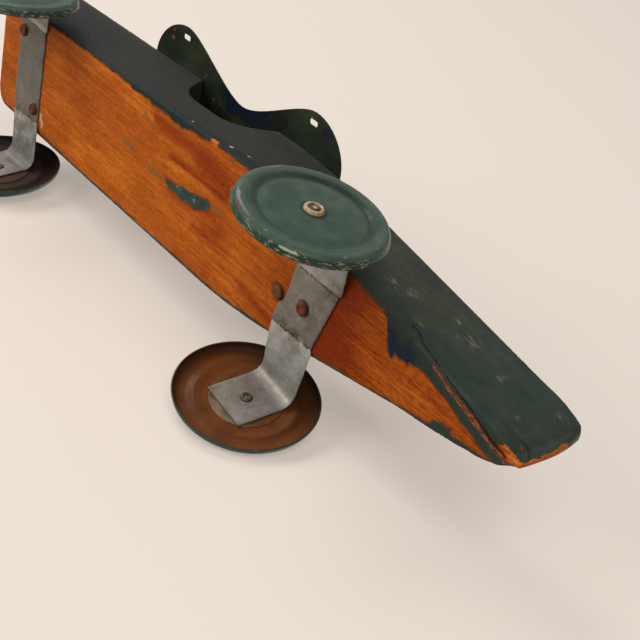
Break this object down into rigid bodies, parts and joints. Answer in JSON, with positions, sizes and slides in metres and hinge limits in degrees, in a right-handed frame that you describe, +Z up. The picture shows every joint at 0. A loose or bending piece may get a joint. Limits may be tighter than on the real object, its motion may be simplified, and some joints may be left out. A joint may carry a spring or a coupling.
{
  "type": "soapbox racer",
  "caption": "Toy soapbox racer: pointed wooden hull with a cockpit notch, a winged tin cowl plate, a steering strap axle in front, a fixed one behind, and painted lids for wheels.",
  "frame": {"origin": "centre of the underside of the bounding box, on the floor under the middle of the hull", "axes": "+X towards the nose, +Y to the left, +Z up"},
  "size_m": [0.526, 0.1429, 0.121],
  "materials": {
    "painted_pine": "bare worn softwood below, worn dark green paint on the sides and the deck",
    "cowl_tin": "glossy printed tin, dark green with worn patches",
    "rusty_nail": "rusty brown",
    "front_galvanised": "dull spangled zinc, stained",
    "rear_galvanised": "dull zinc, paler",
    "painted_lid": "worn green paint outside, brown lacquer inside",
    "liner_steel": "dull stained steel",
    "rivet_steel": "tarnished",
    "cup_washer": "cream paint worn to rust"
  },
  "bodies": {
    "body": {"hull": "painted_pine", "cowl_plate": "cowl_tin", "cowl_nails": "rusty_nail", "front_pivot_nail": "rusty_nail", "front_stop_nail": "rusty_nail", "rear_strap": "rear_galvanised", "rear_strap_nails": "rusty_nail", "rivet_rear_right": "rivet_steel", "rivet_rear_left": "rivet_steel"},
    "front_axle": {"front_strap": "front_galvanised", "rivet_front_right": "rivet_steel", "rivet_front_left": "rivet_steel"},
    "front_right_wheel": {"wheel_front_right": "painted_lid", "liner_front_right": "liner_steel", "washer_front_right": "cup_washer"},
    "front_left_wheel": {"wheel_front_left": "painted_lid", "liner_front_left": "liner_steel", "washer_front_left": "cup_washer"},
    "rear_right_wheel": {"wheel_rear_right": "painted_lid", "liner_rear_right": "liner_steel", "washer_rear_right": "cup_washer"},
    "rear_left_wheel": {"wheel_rear_left": "painted_lid", "liner_rear_left": "liner_steel", "washer_rear_left": "cup_washer"}
  },
  "joints": [
    {"name": "steer", "type": "hinge", "parent": "body", "child": "front_axle", "pos_m": [0.0991, 0.008, 0.0695], "axis": [0, 0, 1], "range_deg": [-33, 2.5]},
    {"name": "spin_front_right", "type": "hinge", "parent": "front_axle", "child": "front_right_wheel", "pos_m": [0.11777, -0.06255, 0.04204], "axis": [0.1564, -0.9875, 0.0175], "continuous": true},
    {"name": "spin_front_left", "type": "hinge", "parent": "front_axle", "child": "front_left_wheel", "pos_m": [0.09821, 0.06091, 0.04198], "axis": [-0.1553, 0.9803, 0.1219], "continuous": true},
    {"name": "spin_rear_right", "type": "hinge", "parent": "body", "child": "rear_right_wheel", "pos_m": [-0.203, -0.0625, 0.04204], "axis": [0, -0.9998, 0.0175], "continuous": true},
    {"name": "spin_rear_left", "type": "hinge", "parent": "body", "child": "rear_left_wheel", "pos_m": [-0.203, 0.0625, 0.04198], "axis": [0, 0.9925, 0.1219], "continuous": true}
  ]
}
